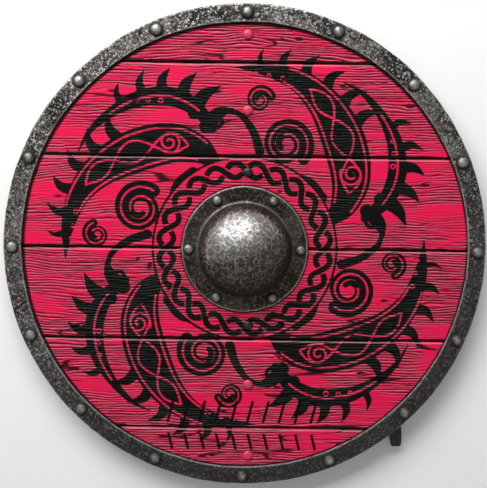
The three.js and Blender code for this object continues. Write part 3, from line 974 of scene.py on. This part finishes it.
def band(sizes, material):
    """The hammered steel band, a little uneven along its edges."""
    obj = spun(band_profile(), 900, ring=True)
    co = points_of(obj) / MM
    radius, turns = from_axis(co), steps_round(co, LATTICE)
    wander = 0.35 * noise(turns * 0.25, radius * 0, 41) + 0.2 * noise(turns, radius * 0, 42)
    at_wall = smooth_step(RIM_RADIUS - 4, RIM_RADIUS, radius)
    at_lip = smooth_step(BAND_INNER + 3.7, BAND_INNER + 0.2, radius)
    grown = radius + wander * np.maximum(at_wall, at_lip) - 0.3 * at_wall
    co[:, :2] *= (grown / radius)[:, None]
    set_points(obj, co * MM)

    def outside(p):
        face, back, wall = RIM_HIGH[2] - 1.5, RIM_LOW[2] + 1.5, RIM_RADIUS - 1.5
        return (p[:, 2] > face) | (p[:, 2] < back) | (from_axis(p) > wall)

    fall = hammered(obj, sizes.dent, sizes.dent_depth, 51, outside)
    # Painted shade, put in as black scale, darkens the lower right, and the two edges are rubbed, the inner
    # lip with a painted highlight as well
    painted_lower_shade = 0.88 * smooth_step(0.75, -0.7, (0.85 * co[:, 1] - 0.3 * co[:, 0]) / RIM_RADIUS)
    # Rubbed inner lip with a painted highlight, weaker towards the lower right
    rubbed_and_lit_lip = smooth_step(BAND_INNER + 1.3, BAND_INNER + 0.3, radius) * (0.5 - 0.2 * painted_lower_shade)
    wall_edge = smooth_step(RIM_RADIUS - 1.6, RIM_RADIUS - 0.3, radius) * 0.25
    # The scale mask here is painted shade towards the lower right and round the rivet heads, with some real
    # scale
    scale = np.maximum(painted_lower_shade, 0.8 * round_heads(co, RIM_RIVETS, BAND_RIVET["head"]))
    store(obj, dent=fall, wear=np.maximum(rubbed_and_lit_lip, wall_edge), scale=scale, polish=0 * radius)
    finish_piece(obj, "edge_band", material, "rim_steel", "rim")


def boss_profile():
    """The boss's section from its crown out to its flange and back underneath."""
    springing = FLANGE_FACE + DOME_FILLET
    rise = BOSS_HIGH[2] - springing
    inner, fillet = DOME_RADIUS - SHEET, DOME_FILLET + SHEET

    def sweep(radius, bend):
        turns = [math.pi / 2 * i / 4 for i in range(1, 5)]
        return [(radius + bend * (1 - math.cos(t)), springing - bend * math.sin(t)) for t in turns]

    flange, under = FLANGE_RADIUS, FLANGE_FACE - SHEET
    edge = [(flange - 0.9, FLANGE_FACE), (flange - 0.25, FLANGE_FACE - 0.25)]
    edge += [(flange, FLANGE_FACE - 0.9), (flange, under)]
    outside = quarter_arc(DOME_RADIUS, rise, springing, 52) + sweep(DOME_RADIUS, DOME_FILLET)
    outside += evenly([outside[-1], edge[0]], 1.7)[1:] + edge[1:]
    below = evenly([edge[-1], sweep(inner, fillet)[-1]], 5.0)[1:] + sweep(inner, fillet)[-2::-1]
    return outside + below + quarter_arc(inner, rise - SHEET, springing, 24)[::-1]


def boss(sizes, material):
    """The raised iron dome and its flange, planished all over."""
    obj = spun(boss_profile(), 168)
    fall = hammered(obj, sizes.dent * 1.6, sizes.dent_depth, 61)
    co = points_of(obj) / MM
    radius = from_axis(co)
    wander = 0.4 * noise(steps_round(co, 64), radius * 0, 62)
    edge = smooth_step(FLANGE_RADIUS - 6, FLANGE_RADIUS, radius)
    co[:, :2] *= (1 + (wander - 0.3) * edge / radius.clip(1))[:, None]
    set_points(obj, co * MM)

    # Height up the shield, leaning to the left, towards the light: below, painted shade is put in as thick
    # black scale, and above, a painted highlight
    up = co[:, 1] - 0.35 * co[:, 0]
    on_dome = smooth_step(DOME_RADIUS + 5, DOME_RADIUS + 1, radius)
    flange_edge = 0.6 * smooth_step(FLANGE_RADIUS - 1.4, FLANGE_RADIUS - 0.6, radius)
    # Painted highlight along the dome's foot, on the side towards the light
    painted_highlight_foot = smooth_step(1.6, 0.4, np.abs(radius - DOME_RADIUS - 1.4)) * smooth_step(-8, 30, up)
    # Painted shade in the dome's foot, strongest on the side away from the light
    foot = smooth_step(40, 51, radius) * on_dome * (0.2 + 0.78 * smooth_step(34, -6, up))
    shaded = 0.7 * smooth_step(-2, -46, up) * on_dome
    scale_and_shade_by_heads = 0.75 * round_heads(co, BOSS_RIVETS, FLANGE_RIVET["head"])
    # Painted highlight: the dome's crown turns paler on its side towards the light
    crown = smooth_step(56, 44, radius) * (0.22 + 0.78 * smooth_step(-26, 30, up))
    # The scale mask here is painted shade at the foot, on the lower side and round the heads, with some
    # real scale
    scale = np.max([foot, shaded, scale_and_shade_by_heads], axis=0)
    store(obj, dent=fall, wear=np.maximum(flange_edge, 0.2 * painted_highlight_foot), scale=scale, polish=crown)
    finish_piece(obj, "boss_dome", material, "boss_iron", "boss")


def fastener(head, height, shank, end):
    """A domed fastener's section: its head above height 0, then its shank and its end."""
    dome = quarter_arc(head, height * 0.88, height * 0.12, 9)
    return dome + [(head * 0.99, 0.15), (head * 0.96, 0), (shank, 0)] + evenly(end, 30)


def peened(grip):
    """A rivet's end, hammered over behind what it holds."""
    return [(2, -grip), (4.2, -grip), (4.5, -grip - 0.4), (3.2, -grip - 1.2), (0, -grip - 1.5)]


def pointed(shank, length, point):
    """A nail's end, drawn to a point."""
    return [(shank, point - length), (0, -length)]


def set_of_heads(nodes, prefix, profile, level, sides, slot, materials, seed, flip=False):
    """One fastener modelled, then copied to each place, each copy turned and hit its own way."""
    model = spun(profile, sides)
    reach = max(r for r, _ in profile)
    digits = len(str(len(nodes)))
    random = np.random.default_rng(seed)
    for i, node in enumerate(nodes):
        obj = copied(model)
        co = points_of(obj) / MM
        x, y = turned(co[:, 0], co[:, 1], random.random() * 2 * math.pi)
        squash = 1 + 0.06 * (random.random() - 0.5)
        spread = np.where(from_axis(co) > 0.4 * reach, squash, 1)
        co[:, 0], co[:, 1] = x * spread, y / spread
        set_points(obj, co * MM)
        fall = hammered(obj, reach * 0.55 * MM, 0.32 * MM, seed + 7 * i, lambda p: p[:, 2] > HEAD_FOOT)
        share = from_axis(co) / reach
        crown = smooth_step(0.75, 0.1, share) * (co[:, 2] > HEAD_FOOT)
        if flip:
            obj.rotation_euler = (math.pi, 0, 0)
        x, y = middle(node)
        obj.location = (x * MM, y * MM, level * MM)
        settle(obj)
        # Painted shade, put in as black scale, darkens each head towards its foot
        scale = 0.9 * smooth_step(0.5, 0.95, share)
        store(obj, dent=fall, wear=0.5 * crown, scale=scale, polish=crown)
        name = prefix + str(i + 1).zfill(digits)
        finish_piece(obj, name, materials[i % len(materials)], slot, node, angle=50)
    bpy.data.objects.remove(model)


def batten(material):
    """The batten, narrowed to a grip in its middle and rounded along its edges."""
    half_length = (BATTEN_HIGH[1] - BATTEN_LOW[1]) / 2 - BATTEN_WIDTH / 2 * math.sin(BATTEN_LEAN)
    obj = primitive(bpy.ops.mesh.primitive_grid_add, x_subdivisions=8, y_subdivisions=150, size=2)
    co = points_of(obj)
    y = co[:, 1] * half_length
    share = smooth_step(GRIP_HALF_LENGTH - GRIP_RUN_OUT, GRIP_HALF_LENGTH, np.abs(y))
    x = co[:, 0] * (GRIP_WIDTH + (BATTEN_WIDTH - GRIP_WIDTH) * share) / 2
    set_points(obj, np.column_stack([x, y, np.full(len(x), BATTEN_HIGH[2])]) * MM)
    apply_modifier(obj, "SOLIDIFY", thickness=BATTEN_HIGH[2] * MM, offset=-1)
    rounding = {"limit_method": "ANGLE", "angle_limit": SHARP, "segments": 4}
    apply_modifier(obj, "BEVEL", width=BATTEN_ROUNDING * MM, **rounding)
    x, y, z = (points_of(obj) / MM).T
    planed = 0.16 * noise(x / 3.2, y / 70, 71) * (z > 1) * (z < 17)
    worn = 0.35 * noise(x / 30, y / 24, 72) * (np.abs(x) > 8)
    x, y = turned(x + worn, y, BATTEN_LEAN)
    z = np.clip(z + planed, 0, BATTEN_HIGH[2])
    set_points(obj, np.column_stack([x + BATTEN_OFFSET, y, z]) * MM)
    finish_piece(obj, "grip_batten", material, "bare_wood", "batten", angle=35)


def strap(material):
    """The leather strap, creased along both edges, with its tapered tail past the band."""
    top, tip = STRAP_HIGH[1], STRAP_LOW[1] - TAIL_LENGTHENED
    centre, half = middle("strap")[0], (STRAP_HIGH[0] - STRAP_LOW[0]) / 2
    obj = primitive(bpy.ops.mesh.primitive_grid_add, x_subdivisions=16, y_subdivisions=260, size=2)
    co = points_of(obj)
    y = tip + (co[:, 1] + 1) / 2 * (top - tip)
    tail = TAIL_HALF_WIDTH + TAIL_WIDENING * smooth_step(tip, tip + TAIL_TAPER, y)
    bend = TAIL_BEND * smooth_step(tip + TAIL_BEND_LENGTH, tip, y)
    into_end = ((tip + TAIL_ROUNDING - y) / TAIL_ROUNDING).clip(0, 1)
    round_end = np.sqrt(np.clip(1 - into_end**2, 0.45, 1))
    x = co[:, 0] * np.minimum(tail, half) * round_end
    # It steps down at the lower end, from under the boards to under the band
    step = STRAP_HIGH[2] - STRAP_LOW[2] - STRAP_THICKNESS
    surface = STRAP_HIGH[2] - step * smooth_step(STRAP_STEP_RUN - top, -top, y)
    set_points(obj, np.column_stack([x + centre + bend, y, surface]) * MM)
    apply_modifier(obj, "SOLIDIFY", thickness=STRAP_THICKNESS * MM, offset=-1)
    rounding = {"limit_method": "ANGLE", "angle_limit": SHARP, "segments": 3}
    apply_modifier(obj, "BEVEL", width=STRAP_ROUNDING * MM, **rounding)
    finish_piece(obj, "carrying_strap", material, "strap_leather", "strap", angle=50)


# Operators and panel


class SHIELD_OT_planks(bpy.types.Operator):
    """Model the six painted planks"""

    bl_idname = "shield.planks"
    bl_label = "Planks"

    def execute(self, context):
        scene = context.scene
        material = painted_planks(scene.shield_colours)
        for i, node in enumerate(BOARDS):
            plank(node, 11 + 20 * i, scene.shield_sizes, material)
        return {"FINISHED"}


class SHIELD_OT_band(bpy.types.Operator):
    """Model the hammered edge band"""

    bl_idname = "shield.band"
    bl_label = "Edge Band"

    def execute(self, context):
        scene = context.scene
        light, dark = linear("#dcdad6"), linear("#1d1916")
        steel = forged("Blackened Band Steel", scene.shield_colours.steel, light, dark, 0.85)
        band(scene.shield_sizes, steel)
        return {"FINISHED"}


class SHIELD_OT_boss(bpy.types.Operator):
    """Model the boss"""

    bl_idname = "shield.boss"
    bl_label = "Boss"

    def execute(self, context):
        scene = context.scene
        light, dark = linear("#d9d3c8"), linear("#2c231b")
        iron = forged("Blackened Boss Iron", scene.shield_colours.iron, light, dark, 0.2, veins=0.8)
        boss(scene.shield_sizes, iron)
        return {"FINISHED"}


class SHIELD_OT_rivets(bpy.types.Operator):
    """Model the rivets through the band and through the boss's flange"""

    bl_idname = "shield.rivets"
    bl_label = "Rivets"

    def execute(self, context):
        light, dark = linear("#dddad5"), linear("#37322e")
        steel = [forged("Blackened Rivet Steel", linear("#918e8a"), light, dark, 0.25)]
        for nodes, prefix, kind, face, back, seed in (
            (RIM_RIVETS, "band_rivet_", BAND_RIVET, RIM_HIGH[2], RIM_LOW[2], 301),
            (BOSS_RIVETS, "flange_rivet_", FLANGE_RIVET, FLANGE_FACE, BOARD_BACK, 401),
        ):
            profile = fastener(**kind, end=peened(face - back + 2 * SEAT_GAP))
            set_of_heads(nodes, prefix, profile, face + SEAT_GAP, 28, "rivet_steel", steel, seed)
        return {"FINISHED"}


class SHIELD_OT_nails(bpy.types.Operator):
    """Model the six painted nails that hold the batten"""

    bl_idname = "shield.nails"
    bl_label = "Nails"

    def execute(self, context):
        red = painted_nail("Red Painted Nail", linear("#cf3350"), linear("#e3a3a4"))
        black = painted_nail("Black Painted Nail", linear("#151514"), linear("#8b8782"))
        places = np.array([middle(node) for node in NAILS])
        in_black = design_distance(places[:, 0], places[:, 1]) < 0
        paints = [black if under else red for under in in_black]
        seat = BOARD_FRONT + SEAT_GAP
        end = pointed(NAIL["shank"], seat - NAIL_TIP_COVER, NAIL_POINT)
        set_of_heads(NAILS, "nail_", fastener(**NAIL, end=end), seat, 24, "painted_nails", paints, 501)
        return {"FINISHED"}


class SHIELD_OT_batten(bpy.types.Operator):
    """Model the batten and its grip"""

    bl_idname = "shield.batten"
    bl_label = "Batten"

    def execute(self, context):
        batten(oiled_softwood(context.scene.shield_colours))
        return {"FINISHED"}


class SHIELD_OT_strap(bpy.types.Operator):
    """Model the carrying strap"""

    bl_idname = "shield.strap"
    bl_label = "Strap"

    def execute(self, context):
        strap(bridle_leather(context.scene.shield_colours))
        return {"FINISHED"}


class SHIELD_OT_tacks(bpy.types.Operator):
    """Model the four tacks that hold the strap"""

    bl_idname = "shield.tacks"
    bl_label = "Tacks"

    def execute(self, context):
        light, dark = linear("#b0ada8"), linear("#2b2725")
        dull = [forged("Blackened Tack Steel", linear("#5b5856"), light, dark, 0.4)]
        profile = fastener(**TACK, end=pointed(TACK["shank"], TACK_LENGTH, TACK_POINT))
        seat = node_box(TACKS[0])[0][2] + TACK["height"]
        set_of_heads(TACKS, "tack_", profile, seat, 20, "rivet_steel", dull, 601, flip=True)
        return {"FINISHED"}


FLOOR_WIDTH = 14
# The camera looks down at the front, tilted and rolled a little as in the photo
CAMERA_DISTANCE = 1.0
CAMERA_LENS = 58.3
CAMERA_SENSOR = 36
CAMERA_TILT = math.radians(4.8)
CAMERA_ROLL = math.radians(0.7)
CAMERA_AIM = Vector((-0.0015, 0.0067, 0.030))
# Each light's name, place, width, depth and power
LIGHTS = (
    ("key", (-0.55, 1.45, 1.25), 2.0, 1.0, 53),
    ("fill", (0.9, -1.3, 1.9), 1.8, 1.8, 4),
)
LIGHT_AIM = Vector((0, 0, 0.03))
SKY_STRENGTH = 0.30


class SHIELD_OT_stage(bpy.types.Operator):
    """Set the floor, the lights and the camera"""

    bl_idname = "shield.stage"
    bl_label = "Stage"

    def execute(self, context):
        scene = context.scene
        floor = primitive(bpy.ops.mesh.primitive_plane_add, size=FLOOR_WIDTH)
        floor.name = "studio_floor"
        floor.data.materials.append(studio_floor())

        camera = bpy.data.objects.new("camera", bpy.data.cameras.new("camera"))
        scene.collection.objects.link(camera)
        camera.data.lens = CAMERA_LENS
        camera.data.sensor_width = CAMERA_SENSOR
        camera.data.clip_start = 0.01
        tilt = Matrix.Rotation(-CAMERA_TILT, 4, "X")
        back = Matrix.Translation((0, 0, CAMERA_DISTANCE))
        roll = Matrix.Rotation(CAMERA_ROLL, 4, "Z")
        camera.matrix_world = Matrix.Translation(CAMERA_AIM) @ tilt @ back @ roll
        scene.camera = camera
        scene.view_settings.view_transform = "Standard"

        for name, place, width, depth, power in LIGHTS:
            light = bpy.data.lights.new(name, "AREA")
            light.shape = "RECTANGLE"
            light.size, light.size_y = width, depth
            light.energy = power
            lamp = bpy.data.objects.new(name, light)
            scene.collection.objects.link(lamp)
            lamp.location = place
            lamp.rotation_euler = (LIGHT_AIM - Vector(place)).to_track_quat("-Z", "Y").to_euler()
        scene.world = bpy.data.worlds.new("studio")
        scene.world.use_nodes = True
        sky = scene.world.node_tree.nodes["Background"].inputs
        sky["Color"].default_value = linear("#f4f5f7")
        sky["Strength"].default_value = SKY_STRENGTH
        return {"FINISHED"}


class SHIELD_PT_panel(bpy.types.Panel):
    """Lists the shield's operators and settings"""

    bl_idname = "SHIELD_PT_panel"
    bl_label = "Round Shield"
    bl_space_type = "VIEW_3D"
    bl_region_type = "UI"
    bl_category = "Shield"

    def draw(self, context):
        for operator in OPERATORS:
            self.layout.operator(operator.bl_idname)
        for group in (context.scene.shield_sizes, context.scene.shield_colours):
            for name in group.__annotations__:
                self.layout.prop(group, name)


OPERATORS = (
    SHIELD_OT_stage,
    SHIELD_OT_planks,
    SHIELD_OT_band,
    SHIELD_OT_boss,
    SHIELD_OT_rivets,
    SHIELD_OT_nails,
    SHIELD_OT_batten,
    SHIELD_OT_strap,
    SHIELD_OT_tacks,
)
CLASSES = (ShieldSizes, ShieldColours, *OPERATORS, SHIELD_PT_panel)


def register():
    """Registers the classes and gives the scene its settings."""
    for cls in CLASSES:
        bpy.utils.register_class(cls)
    bpy.types.Scene.shield_sizes = bpy.props.PointerProperty(type=ShieldSizes)
    bpy.types.Scene.shield_colours = bpy.props.PointerProperty(type=ShieldColours)


def unregister():
    """Takes the settings and the classes away again."""
    del bpy.types.Scene.shield_colours
    del bpy.types.Scene.shield_sizes
    for cls in reversed(CLASSES):
        bpy.utils.unregister_class(cls)


def main():
    """Makes everything in order."""
    register()
    bpy.ops.shield.stage()
    bpy.ops.shield.planks()
    bpy.ops.shield.band()
    bpy.ops.shield.boss()
    bpy.ops.shield.rivets()
    bpy.ops.shield.nails()
    bpy.ops.shield.batten()
    bpy.ops.shield.strap()
    bpy.ops.shield.tacks()
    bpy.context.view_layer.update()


if __name__ == "__main__":
    main()
